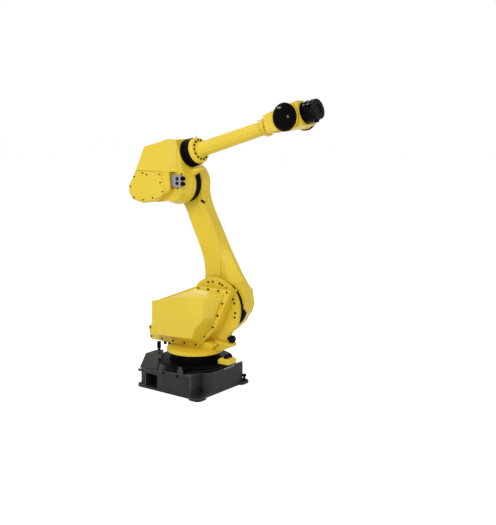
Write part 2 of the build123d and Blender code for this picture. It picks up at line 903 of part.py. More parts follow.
# Wrist: body that bends between the cheeks and the tool unit in front of it
with BuildPart() as wrist_body:
    with BuildSketch(wrist_plane(wrist_half_width)):
        Circle(wrist_hub_radius)
        with BuildLine():
            Polyline(
                (0, wrist_hub_radius - wrist_hub_inset),
                (wrist_block_end, wrist_block_half_height),
                (wrist_block_end, -wrist_block_half_height),
                (0, -wrist_hub_radius + wrist_hub_inset),
                close=True,
            )
        make_face()
    extrude(amount=2 * wrist_half_width)
    with BuildSketch(wrist_plane(cheek_inner - running_gap)):
        Circle(wrist_boss_radius)
    extrude(amount=2 * (cheek_inner - running_gap))

with BuildPart() as tool_unit:
    with BuildSketch(forearm_plane(0)):
        with BuildLine():
            Polyline(
                (forearm_length + wrist_block_end, 0),
                (forearm_length + wrist_block_end, tool_unit_radius),
                (forearm_length + wrist_block_end + tool_unit_step_start, tool_unit_radius),
                (forearm_length + wrist_block_end + tool_unit_step_end, tool_unit_tip_radius + tool_unit_tip_rim),
                (forearm_length + tool_unit_end - tool_unit_chamfer, tool_unit_tip_radius + tool_unit_tip_rim),
                (forearm_length + tool_unit_end, tool_unit_tip_radius - 2 * tool_unit_tip_rim),
                (forearm_length + tool_unit_end, 0),
                close=True,
            )
        make_face()
    revolve(axis=forearm_axis)
    with BuildSketch(wrist_plane(tab_width / 2)):
        with Locations((tool_unit_end - tab_length / 2 - tool_unit_chamfer, -tool_unit_tip_radius)):
            Rectangle(tab_length, 2 * tab_drop)
    extrude(amount=tab_width)

with BuildPart() as tool_flange:
    with BuildSketch(roll_plane(forearm_length + tool_unit_end + tool_flange_gap)):
        Circle(tool_flange_radius)
    extrude(amount=wrist_length - tool_unit_end - tool_flange_gap)
    with BuildSketch(roll_plane(forearm_length + wrist_length)):
        Circle(pilot_diameter / 2)
    extrude(amount=-pilot_depth, mode=Mode.SUBTRACT)
    with BuildSketch(roll_plane(forearm_length + wrist_length)):
        with PolarLocations(tool_pcd / 2, tool_bolt_count):
            Circle(tool_bolt_core_diameter / 2)
        with PolarLocations(tool_pcd / 2, 1, start_angle=tool_dowel_angle):
            Circle(tool_dowel_diameter / 2)
    extrude(amount=-tool_bolt_depth, mode=Mode.SUBTRACT)

pieces = {
    "base_casting": base_casting,
    "base_disc": base_disc,
    "base_drum": base_drum,
    "cable_bracket": cable_bracket,
    "cable_post": cable_post,
    "turn_stop": turn_stop,
    "stop_buffers": stop_buffers,
    "turret_casting": turret_casting,
    "stop_rubber": stop_rubber,
    "motor_cover": motor_cover,
    "arm_casting": arm_casting,
    "shoulder_seal": shoulder_seal,
    "elbow_drum": elbow_drum,
    "shoulder_cap": shoulder_cap,
    "elbow_cap": elbow_cap,
    "elbow_casting": elbow_casting,
    "elbow_rear_cover": elbow_rear_cover,
    "elbow_side_cover": elbow_side_cover,
    "connector_panel": connector_panel,
    "panel_connectors": panel_connectors,
    "roll_ring": roll_ring,
    "forearm_flange": forearm_flange,
    "forearm_tube": forearm_tube,
    "wrist_yoke": wrist_yoke,
    "bending_cap_right": bending_cap_right,
    "bending_cap_left": bending_cap_left,
    "flange_nipple": flange_nipple,
    "tube_nipple": tube_nipple,
    "wrist_body": wrist_body,
    "tool_unit": tool_unit,
    "tool_flange": tool_flange,
}

os.makedirs("parts", exist_ok=True)
for node, piece in pieces.items():
    piece.part.label = node
    export_step(piece.part, f"parts/{node}.step")
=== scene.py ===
import json
import math

import bmesh
import bpy
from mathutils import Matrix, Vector


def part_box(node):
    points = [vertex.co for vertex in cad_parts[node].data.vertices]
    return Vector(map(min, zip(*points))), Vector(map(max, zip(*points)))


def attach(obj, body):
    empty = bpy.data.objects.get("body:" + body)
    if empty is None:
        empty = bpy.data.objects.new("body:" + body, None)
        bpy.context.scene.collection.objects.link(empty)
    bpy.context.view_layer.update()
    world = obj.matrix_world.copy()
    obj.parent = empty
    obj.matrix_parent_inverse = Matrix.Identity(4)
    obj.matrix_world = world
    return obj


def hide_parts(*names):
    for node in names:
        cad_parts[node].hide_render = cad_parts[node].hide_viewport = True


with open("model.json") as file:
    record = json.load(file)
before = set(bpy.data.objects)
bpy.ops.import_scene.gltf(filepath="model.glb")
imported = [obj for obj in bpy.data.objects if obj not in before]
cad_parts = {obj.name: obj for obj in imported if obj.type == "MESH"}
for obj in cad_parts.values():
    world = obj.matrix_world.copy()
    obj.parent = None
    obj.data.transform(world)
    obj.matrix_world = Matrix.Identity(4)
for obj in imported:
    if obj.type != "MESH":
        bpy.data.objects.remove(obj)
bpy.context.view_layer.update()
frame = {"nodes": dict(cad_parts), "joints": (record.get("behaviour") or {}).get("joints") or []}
print("stage: frame loaded")

# Blender works in metres. Sizes and places in the pieces' dictionaries are millimetres, angles are degrees
toFront, toLeft, toTop = Vector((1, 0, 0)), Vector((0, 1, 0)), Vector((0, 0, 1))
toRight = -toLeft

# The arm's axes at rest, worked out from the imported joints
joints = {joint["name"]: joint for joint in frame["joints"]}
shoulder = Vector(joints["shoulder_swing"]["pos_m"])
elbow = Vector(joints["elbow_swing"]["pos_m"])
armUp = (elbow - shoulder).normalized()
armFront = toLeft.cross(armUp)
forearmDir = Vector(joints["forearm_roll"]["axis"]).normalized()
forearmUp = forearmDir.cross(toLeft)
forearmRoot = elbow + forearmUp * (Vector(joints["forearm_roll"]["pos_m"]) - elbow).dot(forearmUp)


def rightFace(node):
    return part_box(node)[0][1] * 1000


def leftFace(node):
    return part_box(node)[1][1] * 1000


def topFace(node):
    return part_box(node)[1][2] * 1000


# Taken before the casting is replaced
armSide = rightFace("arm_casting")


def inMetres(x, y, z):
    return Vector((x, y, z)) / 1000


def polar(radius, angle):
    turn = math.radians(angle)
    return radius * math.cos(turn), radius * math.sin(turn)


def spread(start, end, steps):
    return [start + (end - start) * i / steps for i in range(steps + 1)]


def hexToLinear(code):
    parts = [int(code[i:i + 2], 16) / 255 for i in (1, 3, 5)]
    return [c / 12.92 if c <= 0.04045 else ((c + 0.055) / 1.055) ** 2.4 for c in parts] + [1.0]


def addNode(tree, kind, place=(0, 0), settings=None, inputs=None, links=None):
    node = tree.nodes.new(kind)
    node.location = place
    for key, value in (settings or {}).items():
        setattr(node, key, value)
    for key, value in (inputs or {}).items():
        node.inputs[key].default_value = value
    for key, source in (links or {}).items():
        tree.links.new(source, node.inputs[key])
    return node


def linkMesh(name, mesh):
    piece = bpy.data.objects.new(name, mesh)
    bpy.context.scene.collection.objects.link(piece)
    return piece


# What a finish has where it says nothing else. The three spans are the inputs between which a mask runs
finishDefaults = {
    "metallic": 0.0, "specular": 0.5, "coat": 0.0, "coatRoughness": 0.1, "bumpMm": 1.0,
    "driftSpan": (0.32, 0.68),
    # Painted shade in corners and recesses, and a painted pale highlight along edges
    "paintedShade": 0.25, "paintedShadeReachMm": 30, "paintedShadeSpan": (0.25, 0.8), "paintedShadeSamples": 4,
    "edgeMm": 2.0, "edgeSamples": 6, "paintedEdgeHighlight": 0.0, "paintedEdgeHighlightSpan": (0.995, 0.85),
}


def paintedFinish(name, settings):
    # A slow colour drift, a fine grain, painted shade that darkens the corners, rounded edges and, where
    # asked, a painted pale highlight along them
    look = {**finishDefaults, "paintedShadeTone": settings["dark"], "rim": settings["light"], **settings}
    material = bpy.data.materials.new(name)
    material.use_nodes = True
    tree = material.node_tree
    tree.nodes.clear()
    output = addNode(tree, "ShaderNodeOutputMaterial", (900, 0))
    shader = addNode(tree, "ShaderNodeBsdfPrincipled", (620, 0), inputs={
        "Roughness": look["roughness"], "Metallic": look["metallic"], "Specular IOR Level": look["specular"],
        "Coat Weight": look["coat"], "Coat Roughness": look["coatRoughness"]})
    tree.links.new(shader.outputs["BSDF"], output.inputs["Surface"])
    coords = addNode(tree, "ShaderNodeTexCoord", (-900, 0))

    drift = addNode(tree, "ShaderNodeTexNoise", (-680, 200), inputs={
        "Scale": 1000 / look["driftMm"], "Detail": 4.0, "Roughness": 0.6}, links={
        "Vector": coords.outputs["Object"]})
    ramp = addNode(tree, "ShaderNodeValToRGB", (-480, 200), links={"Fac": drift.outputs["Fac"]})
    for stop, place, tone in zip(ramp.color_ramp.elements, look["driftSpan"], (look["dark"], look["light"])):
        stop.position = place
        stop.color = hexToLinear(tone)

    # Painted highlight: a pale tone laid along edges, where the rounded normal turns away from the face's own
    edge = addNode(tree, "ShaderNodeBevel", (-680, -480), {"samples": look["edgeSamples"]}, {
        "Radius": look["edgeMm"] / 1000})
    flat = addNode(tree, "ShaderNodeNewGeometry", (-680, -640))
    turned = addNode(tree, "ShaderNodeVectorMath", (-480, -540), {"operation": "DOT_PRODUCT"}, links={
        0: edge.outputs["Normal"], 1: flat.outputs["Normal"]})
    paintedEdgeHighlight = addNode(tree, "ShaderNodeMapRange", (-280, -540), inputs={
        "From Min": look["paintedEdgeHighlightSpan"][0], "From Max": look["paintedEdgeHighlightSpan"][1],
        "To Min": 0.0, "To Max": look["paintedEdgeHighlight"]}, links={"Value": turned.outputs["Value"]})
    edgeHighlighted = addNode(tree, "ShaderNodeMix", (-100, 200), {"data_type": "RGBA"}, {
        "B": hexToLinear(look["rim"])}, {"Factor": paintedEdgeHighlight.outputs["Result"], "A": ramp.outputs["Color"]})

    # Painted shade: an ambient-occlusion mask darkens corners and recesses towards a darker tone
    corner = addNode(tree, "ShaderNodeAmbientOcclusion", (-480, -60), {"samples": look["paintedShadeSamples"]}, {
        "Distance": look["paintedShadeReachMm"] / 1000})
    paintedShade = addNode(tree, "ShaderNodeMapRange", (-280, -60), inputs={
        "From Min": look["paintedShadeSpan"][0], "From Max": look["paintedShadeSpan"][1],
        "To Min": look["paintedShade"], "To Max": 0.0}, links={"Value": corner.outputs["AO"]})
    shadePainted = addNode(tree, "ShaderNodeMix", (120, 120), {"data_type": "RGBA"}, {
        "B": hexToLinear(look["paintedShadeTone"])}, {"Factor": paintedShade.outputs["Result"], "A": edgeHighlighted.outputs["Result"]})
    tree.links.new(shadePainted.outputs["Result"], shader.inputs["Base Color"])

    grain = addNode(tree, "ShaderNodeTexNoise", (-680, -260), inputs={
        "Scale": 1000 / look["grainMm"], "Detail": 3.0, "Roughness": 0.55}, links={
        "Vector": coords.outputs["Object"]})
    bump = addNode(tree, "ShaderNodeBump", (360, -260), inputs={
        "Strength": look["bump"], "Distance": look["bumpMm"] / 1000}, links={
        "Height": grain.outputs["Fac"], "Normal": edge.outputs["Normal"]})
    tree.links.new(bump.outputs["Normal"], shader.inputs["Normal"])
    return material


# Each grainMm is coarser than the real grain, which is too fine to show in the render
# Each finish's corner tone and strength set its painted shade; the charcoal's edge tone sets a painted
# highlight
finishes = {
    # Two-part enamel sprayed over a sand casting: soft wide highlights, faint orange peel, round edges
    "yellowEnamelOnCasting": {
        "slot": "arm_paint", "light": "#E6C934", "dark": "#DFC02E", "paintedShadeTone": "#BFA02A", "paintedShade": 0.3,
        "roughness": 0.45, "specular": 0.35, "coat": 0.1, "coatRoughness": 0.25,
        "driftMm": 180, "grainMm": 7, "bump": 0.10, "edgeMm": 5.0},
    # The same enamel over pressed covers: flatter, so the peel is finer and the folds are tighter
    "yellowEnamelOnSheet": {
        "slot": "arm_paint", "light": "#E6C934", "dark": "#E0C22F", "paintedShadeTone": "#BFA02A", "paintedShade": 0.3,
        "roughness": 0.4, "specular": 0.35, "coat": 0.15, "coatRoughness": 0.2,
        "driftMm": 240, "grainMm": 4, "bump": 0.05, "edgeMm": 4.0},
    # Charcoal enamel on grey iron: a coarse dull sand grain, painted black shade in the corners and a painted
    # pale highlight along the edges
    "charcoalEnamelOnGreyIron": {
        "slot": "base_paint", "light": "#282728", "dark": "#1F1E1F", "paintedShadeTone": "#0A0A0A", "paintedShade": 0.9,
        "paintedShadeReachMm": 80, "paintedEdgeHighlight": 1.0, "rim": "#88888C", "roughness": 0.5, "specular": 0.2,
        "driftMm": 90, "grainMm": 5, "bump": 0.3, "edgeMm": 4.0},
    # Black enamel on the turned disc, drum and rings: nearly no reflection
    "blackEnamelOnSteel": {
        "slot": "black_paint", "light": "#08080B", "dark": "#050507", "roughness": 0.42, "specular": 0.03,
        "driftMm": 60, "grainMm": 3, "bump": 0.04},
    # Gloss black enamel on the tool unit: deep black with short sharp highlights along its rims
    "glossBlackEnamel": {
        "slot": "black_paint", "light": "#040405", "dark": "#020203", "roughness": 0.16, "specular": 0.04,
        "driftMm": 60, "grainMm": 8, "bump": 0.02, "edgeMm": 2.5},
    # Dark warm-grey enamel on the bent cable hood: dull, a little lighter than the casting below it
    "brownEnamelOnSheet": {
        "slot": "bracket_paint", "light": "#403E3B", "dark": "#333130", "roughness": 0.55, "specular": 0.2,
        "driftMm": 70, "grainMm": 3, "bump": 0.1, "edgeMm": 3.0},
    # Moulded gloss polyamide: black with small sharp highlights of the lamps
    "glossPolyamideCover": {
        "slot": "gloss_cap", "light": "#020203", "dark": "#010102", "roughness": 0.08, "specular": 0.05,
        "driftMm": 60, "grainMm": 10, "bump": 0.01},
    # Moulded rubber: dull, with a fine matt grain
    "mouldedRubber": {
        "slot": "stop_rubber", "light": "#0B0B0C", "dark": "#060607", "roughness": 0.7, "specular": 0.1,
        "driftMm": 30, "grainMm": 2, "bump": 0.2},
    # Grey-blue painted sheet behind the connectors
    "greyEnamelOnSheet": {
        "slot": "panel_grey", "light": "#9A9AA2", "dark": "#8C8C95", "paintedShadeTone": "#4B4C54", "roughness": 0.45,
        "specular": 0.3, "driftMm": 50, "grainMm": 3, "bump": 0.05, "edgeMm": 1.5},
    # Black phosphated steel of the screws and the tool flange: dull, faintly metallic
    "phosphatedSteel": {
        "slot": "flange_steel", "light": "#0C0C0B", "dark": "#070706", "roughness": 0.45, "metallic": 0.1,
        "specular": 0.06, "driftMm": 20, "grainMm": 2, "bump": 0.05, "edgeMm": 0.8},
    # Zinc-plated steel of the grease nipples: pale with a soft shine
    "zincPlatedSteel": {
        "slot": "flange_steel", "light": "#B9BBBD", "dark": "#A3A6A9", "roughness": 0.35, "metallic": 1.0,
        "driftMm": 15, "grainMm": 2, "bump": 0.05, "edgeMm": 0.8},
}
materials = {name: paintedFinish(name, settings) for name, settings in finishes.items()}

# The CAD's two bending caps are named for the wrong sides. They are alike, and both take the same finish
nodeFinish = {
    "charcoalEnamelOnGreyIron": ["base_casting"],
    "blackEnamelOnSteel": ["base_disc", "base_drum", "elbow_drum", "roll_ring"],
    "glossBlackEnamel": ["tool_unit"],
    "brownEnamelOnSheet": ["cable_bracket"],
    "mouldedRubber": ["cable_post", "stop_buffers", "stop_rubber", "shoulder_seal"],
    "yellowEnamelOnCasting": ["turn_stop", "turret_casting", "arm_casting", "elbow_casting", "forearm_flange",
                              "forearm_tube", "wrist_yoke", "wrist_body"],
    "yellowEnamelOnSheet": ["motor_cover", "shoulder_cap", "elbow_cap", "elbow_rear_cover",
                            "elbow_side_cover"],
    "greyEnamelOnSheet": ["connector_panel"],
    "glossPolyamideCover": ["bending_cap_right", "bending_cap_left", "panel_connectors"],
    "phosphatedSteel": ["tool_flange"],
    "zincPlatedSteel": ["flange_nipple", "tube_nipple"],
}
for finish, nodes in nodeFinish.items():
    for node in nodes:
        mesh = frame["nodes"][node].data
        mesh.materials.clear()
        mesh.materials.append(materials[finish])
print("stage: materials made")


def ringPoints(centre, axis, radius, count):
    side = axis.orthogonal().normalized()
    over = axis.cross(side)
    steps = [polar(radius / 1000, 360 * i / count) for i in range(count)]
    return [centre + side * x + over * y for x, y in steps]


# One Geometry Nodes tree puts a socket-head screw on every point of a set
screwLook = {
    "finish": "phosphatedSteel", "sides": 12, "socketDepth": 0.6,
    "m6": {"Head Radius": 5.0, "Head Height": 4.2, "Socket Radius": 2.6},
    "m8": {"Head Radius": 6.5, "Head Height": 5.0, "Socket Radius": 3.4},
}


def screwTree():
    tree = bpy.data.node_groups.new("socketScrews", "GeometryNodeTree")
    tree.interface.new_socket("Geometry", in_out="INPUT", socket_type="NodeSocketGeometry")
    for label in screwLook["m6"]:
        tree.interface.new_socket(label, in_out="INPUT", socket_type="NodeSocketFloat")
    tree.interface.new_socket("Finish", in_out="INPUT", socket_type="NodeSocketMaterial")
    tree.interface.new_socket("Geometry", in_out="OUTPUT", socket_type="NodeSocketGeometry")
    inlet = addNode(tree, "NodeGroupInput", (-900, 0))
    circle = addNode(tree, "GeometryNodeMeshCircle", (-700, 200), {"fill_type": "NGON"}, {
        "Vertices": screwLook["sides"]}, {"Radius": inlet.outputs["Head Radius"]})
    side = addNode(tree, "GeometryNodeExtrudeMesh", (-500, 200), {"mode": "FACES"}, links={
        "Mesh": circle.outputs["Mesh"], "Offset Scale": inlet.outputs["Head Height"]})
    rim = addNode(tree, "GeometryNodeExtrudeMesh", (-300, 200), {"mode": "FACES"}, {"Offset Scale": 0.0}, {
        "Mesh": side.outputs["Mesh"], "Selection": side.outputs["Top"]})
    ratio = addNode(tree, "ShaderNodeMath", (-500, -60), {"operation": "DIVIDE"}, links={
        0: inlet.outputs["Socket Radius"], 1: inlet.outputs["Head Radius"]})
    shrink = addNode(tree, "GeometryNodeScaleElements", (-100, 200), links={
        "Geometry": rim.outputs["Mesh"], "Selection": rim.outputs["Top"], "Scale": ratio.outputs["Value"]})
    depth = addNode(tree, "ShaderNodeMath", (-300, -60), {"operation": "MULTIPLY"}, {
        1: -screwLook["socketDepth"]}, {0: inlet.outputs["Head Height"]})
    socket = addNode(tree, "GeometryNodeExtrudeMesh", (100, 200), {"mode": "FACES"}, links={
        "Mesh": shrink.outputs["Geometry"], "Selection": rim.outputs["Top"],
        "Offset Scale": depth.outputs["Value"]})
    outward = addNode(tree, "GeometryNodeInputNamedAttribute", (-300, -260), {"data_type": "FLOAT_VECTOR"}, {
        "Name": "outward"})
    turn = addNode(tree, "FunctionNodeAlignRotationToVector", (-100, -260), {"axis": "Z"}, links={
        "Vector": outward.outputs["Attribute"]})
    copies = addNode(tree, "GeometryNodeInstanceOnPoints", (300, 0), links={
        "Points": inlet.outputs["Geometry"], "Instance": socket.outputs["Mesh"],
        "Rotation": turn.outputs["Rotation"]})
    real = addNode(tree, "GeometryNodeRealizeInstances", (500, 0), links={
        "Geometry": copies.outputs["Instances"]})
    finish = addNode(tree, "GeometryNodeSetMaterial", (700, 0), links={
        "Geometry": real.outputs["Geometry"], "Material": inlet.outputs["Finish"]})
    addNode(tree, "NodeGroupOutput", (900, 0), links={"Geometry": finish.outputs["Geometry"]})
    return tree


socketScrews = screwTree()


def makeScrews(name, body, places, size):
    # A place is a point and the direction in which the head stands out
    mesh = bpy.data.meshes.new(name)
    mesh.from_pydata([point for point, _ in places], [], [])
    mesh.attributes.new("outward", "FLOAT_VECTOR", "POINT")
    for entry, (_, outward) in zip(mesh.attributes["outward"].data, places):
        entry.vector = outward
    holder = linkMesh(name + "Points", mesh)
    modifier = holder.modifiers.new("screws", "NODES")
    modifier.node_group = socketScrews
    values = {label: length / 1000 for label, length in screwLook[size].items()}
    values["Finish"] = materials[screwLook["finish"]]
    for item in socketScrews.interface.items_tree:
        if item.in_out == "INPUT" and item.name in values:
            modifier[item.identifier] = values[item.name]
    depsgraph = bpy.context.evaluated_depsgraph_get()
    heads = linkMesh(name, bpy.data.meshes.new_from_object(holder.evaluated_get(depsgraph)))
    bpy.data.objects.remove(holder)
    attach(heads, body)
    return heads


def sidePlaces(points, faceY, origin=Vector()):
    return [(origin + inMetres(x, faceY, z), toRight) for x, z in points]


def ringPlaces(centre, axis, radius, count):
    return [(point, axis) for point in ringPoints(centre, axis, radius, count)]


# The motor cover's flange takes its outer face from here
coverScrews = {
    "faceY": -52.0,
    "points": [(-369, 370), (-358, 306), (-258, 304), (-156, 305), (-52, 305), (50, 308), (127, 378),
               (200, 451), (242, 537), (282, 624), (320, 704), (249, 707), (163, 707), (78, 705)],
}
makeScrews("coverScrews", "turret", sidePlaces(coverScrews["points"], coverScrews["faceY"]), "m8")

shoulderScrews = {"radius": 178.0, "faceY": 28.0, "angles": [107, 94, 75, 67, 55, 26, 17, -4, -14]}
shoulderPoints = [polar(shoulderScrews["radius"], angle) for angle in shoulderScrews["angles"]]
makeScrews("shoulderScrews", "turret", sidePlaces(shoulderPoints, shoulderScrews["faceY"], shoulder), "m8")

elbowCoverPoints = [(-278, 42), (-202, 70), (-165, 60), (-52, 68), (-42, 14), (-22, -46), (-112, -94),
                    (-200, -112), (-284, -98), (-316, -26)]
makeScrews("elbowCoverScrews", "elbow_housing",
           sidePlaces(elbowCoverPoints, rightFace("elbow_side_cover"), elbow), "m6")

# The connector panel stands on the same boss face as these four
elbowBossPoints = [(24, -24), (68, -24), (12, 74), (104, 74)]
makeScrews("elbowBossScrews", "elbow_housing",
           sidePlaces(elbowBossPoints, leftFace("connector_panel"), elbow), "m6")

# Ring of screws on the forearm's root flange, and the ring behind the wrist's collar
rollScrews = {"radius": 65.0, "along": 239.4, "count": 14}
makeScrews("rollScrews", "forearm", ringPlaces(
    forearmRoot + forearmDir * rollScrews["along"] / 1000, forearmDir, rollScrews["radius"],
    rollScrews["count"]), "m8")
collarScrews = {"radius": 53.0, "along": 785.0, "count": 12}
makeScrews("collarScrews", "forearm", ringPlaces(
    forearmRoot + forearmDir * collarScrews["along"] / 1000, -forearmDir, collarScrews["radius"],
    collarScrews["count"]), "m6")

# Bolt circles of the two covers on the arm's far side
shoulderCapScrews = {"radius": 124.0, "count": 12}
makeScrews("shoulderCapScrews", "upper_arm", ringPlaces(
    shoulder + inMetres(0, leftFace("shoulder_cap"), 0), toLeft, shoulderCapScrews["radius"],
    shoulderCapScrews["count"]), "m8")
elbowCapScrews = {"radius": 90.0, "count": 10}
makeScrews("elbowCapScrews", "upper_arm", ringPlaces(
    elbow + inMetres(0, leftFace("elbow_cap"), 0), toLeft, elbowCapScrews["radius"],
    elbowCapScrews["count"]), "m8")
print("stage: screws made")


# A shell is a list of points in metres and a list of faces that index them
def turnedShell(origin, axis, profile, steps=28):
    # The profile is a list of (radius, height) that starts and ends on the axis
    points, rings, faces = [], [], []
    for radius, height in profile:
        ring = ringPoints(origin + axis * height / 1000, axis, radius, steps if radius else 1)
        rings.append(range(len(points), len(points) + len(ring)))
        points += ring
    for low, high in zip(rings, rings[1:]):
        for i in range(steps):
            j = (i + 1) % steps
            if len(low) == 1:
                faces.append((low[0], high[j], high[i]))
            elif len(high) == 1:
                faces.append((low[i], low[j], high[0]))
            else:
                faces.append((low[i], low[j], high[j], high[i]))
    return points, faces


def plateShell(origin, right, up, outline, thickness, edge=1.0):
    # An outline on the right and up directions, raised by the thickness, its front edge broken.
    # A point moves towards the middle, so its step is a little longer than the chamfer to give it its width
    stepOverEdge = 1.3
    out = right.cross(up)
    count = len(outline)
    middle = Vector((sum(x for x, _ in outline) / count, sum(y for _, y in outline) / count))
    points = []
    for height, inset in ((0, 0), (thickness - edge, 0), (thickness, edge)):
        for corner in (Vector(pair) for pair in outline):
            moved = corner + (middle - corner).normalized() * inset * stepOverEdge
            points.append(origin + (right * moved.x + up * moved.y + out * height) / 1000)
    faces = [tuple(reversed(range(count))), tuple(range(2 * count, 3 * count))]
    for row in (0, count):
        faces += [(row + i, row + (i + 1) % count, row + count + (i + 1) % count, row + count + i)
                  for i in range(count)]
    return points, faces


def ruledShell(rings):
    # Rings of equal count, each a depth on Y and an outline on X and Z, joined by straight walls
    count = len(rings[0][1])
    points = [inMetres(x, y, z) for y, outline in rings for x, z in outline]
    faces = [tuple(range(count)), tuple(reversed(range(len(points) - count, len(points))))]
    for row in range(0, len(points) - count, count):
        faces += [(row + i, row + count + i, row + count + (i + 1) % count, row + (i + 1) % count)
                  for i in range(count)]
    return points, faces


def shellOf(shape):
    # Takes the shell out of a bmesh and frees it
    shape.verts.index_update()
    points = [vert.co.copy() for vert in shape.verts]
    faces = [tuple(vert.index for vert in face.verts) for face in shape.faces]
    shape.free()
    return points, faces


def softened(shell, radius, sharpFrom=14.0):
    # Rounds every edge that turns more than sharpFrom
    shape = bmesh.new()
    points = [shape.verts.new(point) for point in shell[0]]
    for face in shell[1]:
        shape.faces.new([points[index] for index in face])
    bmesh.ops.recalc_face_normals(shape, faces=shape.faces)
    sharp = [edge for edge in shape.edges if edge.calc_face_angle(0) > math.radians(sharpFrom)]
    bmesh.ops.bevel(shape, geom=sharp, offset=radius / 1000, segments=4, profile=0.5, affect="EDGES")
    return shellOf(shape)


def nodeShell(node, weld=0.02):
    # A copy of a CAD node's loose triangles, joined
    shape = bmesh.new()
    shape.from_mesh(frame["nodes"][node].data)
    bmesh.ops.remove_doubles(shape, verts=shape.verts, dist=weld / 1000)
    return shellOf(shape)


def shellMesh(name, points, faces, sharpFrom=32.0):
    # A mesh whose faces point outward, smooth apart from the edges that turn more than sharpFrom
    mesh = bpy.data.meshes.new(name)
    mesh.from_pydata(points, [], faces)
    shape = bmesh.new()
    shape.from_mesh(mesh)
    bmesh.ops.recalc_face_normals(shape, faces=shape.faces)
    for edge in shape.edges:
        edge.smooth = edge.calc_face_angle(0) < math.radians(sharpFrom)
    for face in shape.faces:
        face.smooth = True
    shape.to_mesh(mesh)
    shape.free()
    return mesh


def cutShell(shell, tool):
    body = linkMesh("cutBody", shellMesh("cutBody", *shell))
    cutter = linkMesh("cutTool", shellMesh("cutTool", *tool))
    cut = body.modifiers.new("cut", "BOOLEAN")
    cut.operation = "DIFFERENCE"
    cut.object = cutter
    depsgraph = bpy.context.evaluated_depsgraph_get()
    mesh = bpy.data.meshes.new_from_object(body.evaluated_get(depsgraph))
    bpy.data.objects.remove(body)
    bpy.data.objects.remove(cutter)
    return [vert.co.copy() for vert in mesh.vertices], [tuple(face.vertices) for face in mesh.polygons]


def buildPiece(name, body, finish, shells, standsFor=None):
    points, faces = [], []
    for shellPoints, shellFaces in shells:
        faces += [tuple(index + len(points) for index in face) for face in shellFaces]
        points += shellPoints
    mesh = shellMesh(name, points, faces)
    mesh.materials.append(materials[finish])
    piece = linkMesh(name, mesh)
    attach(piece, body)
    if standsFor:
        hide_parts(*standsFor)
    return piece


# Motor cover: a flat flange and a soft faceted hood on it, whose top falls towards the rear
motorCover = {
    "flange": [(-386, 375), (-375, 297), (-362, 285), (58, 285), (142, 367), (218, 443), (262, 531),
               (302, 619), (342, 707), (332, 719), (66, 719), (-330, 562), (-338, 413)],
    "foot": [(-326, 554), (52, 705), (300, 699), (214, 505), (138, 387), (62, 318), (-335, 338)],
    "face": [(-234, 601), (41, 661), (222, 669), (221, 533), (142, 452), (122, 384), (-238, 361)],
    "flangeBackY": -40.0, "flangeY": coverScrews["faceY"], "flangeEdge": 2.0,
    "faceY": -180.0, "hoodSink": 1.0, "hoodEdge": 9.0,
}
hoodShell = softened(ruledShell([
    (motorCover["flangeY"] + motorCover["hoodSink"], motorCover["foot"]),
    (motorCover["faceY"], motorCover["face"])]), motorCover["hoodEdge"])
flangeShell = softened(ruledShell([
    (motorCover["flangeBackY"], motorCover["flange"]),
    (motorCover["flangeY"], motorCover["flange"])]), motorCover["flangeEdge"])
buildPiece("motorCoverHood", "turret", "yellowEnamelOnSheet", [hoodShell, flangeShell], ["motor_cover"])

# The turret's rear upper corner, lowered to follow the hood
turretCorner = {"behindX": -325.0, "aboveZ": 600.0, "drop": 62.0}
turretPoints, turretFaces = nodeShell("turret_casting")
for point in turretPoints:
    if point.x < turretCorner["behindX"] / 1000 and point.z > turretCorner["aboveZ"] / 1000:
        point.z -= turretCorner["drop"] / 1000
buildPiece("turretCastingSloped", "turret", "yellowEnamelOnCasting", [(turretPoints, turretFaces)],
           ["turret_casting"])

# Shallow pocket in the arm's near face above the shoulder. Corners lie across and along the arm
armPocket = {"corners": [(78, 182), (128, 165), (176, 288), (119, 304)], "depths": (12, 12, 3, 3),
             "proud": 20.0}


def armPoint(across, along, y):
    return shoulder + (armFront * across + armUp * along) / 1000 + inMetres(0, y, 0)


outerCorners = [armPoint(x, z, armSide - armPocket["proud"]) for x, z in armPocket["corners"]]
innerCorners = [armPoint(x, z, armSide + depth)
                for (x, z), depth in zip(armPocket["corners"], armPocket["depths"])]
wedge = outerCorners + innerCorners, [(0, 1, 2, 3), (4, 7, 6, 5), (0, 4, 5, 1), (1, 5, 6, 2), (2, 6, 7, 3),
                                      (3, 7, 4, 0)]
buildPiece("armCastingPocketed", "upper_arm", "yellowEnamelOnCasting",
           [cutShell(nodeShell("arm_casting"), wedge)], ["arm_casting"])

# Black lip of the shoulder seal, widened at the middle of its arc into a crescent of painted shade for the
# gap between the boss and the arm
sealLipAndGapShade = {"inner": 192.0, "ends": 205.0, "middle": 217.0, "start": -28.0, "end": 56.0, "proud": 0.5,
           "thickness": 15.0, "edge": 0.5, "steps": 36}
lipTurns = spread(sealLipAndGapShade["start"], sealLipAndGapShade["end"], sealLipAndGapShade["steps"])
lipOuter = [sealLipAndGapShade["ends"] + (sealLipAndGapShade["middle"] - sealLipAndGapShade["ends"]) * math.sin(math.radians(angle))
            for angle in spread(0, 180, sealLipAndGapShade["steps"])]
lipOutline = ([polar(sealLipAndGapShade["inner"], angle) for angle in lipTurns]
              + [polar(radius, angle) for angle, radius in zip(reversed(lipTurns), reversed(lipOuter))])
buildPiece("shoulderSealLipAndGapShade", "upper_arm", "mouldedRubber", [plateShell(
    shoulder + inMetres(0, armSide - sealLipAndGapShade["proud"], 0), toFront, toTop, lipOutline, sealLipAndGapShade["thickness"],
    sealLipAndGapShade["edge"])])

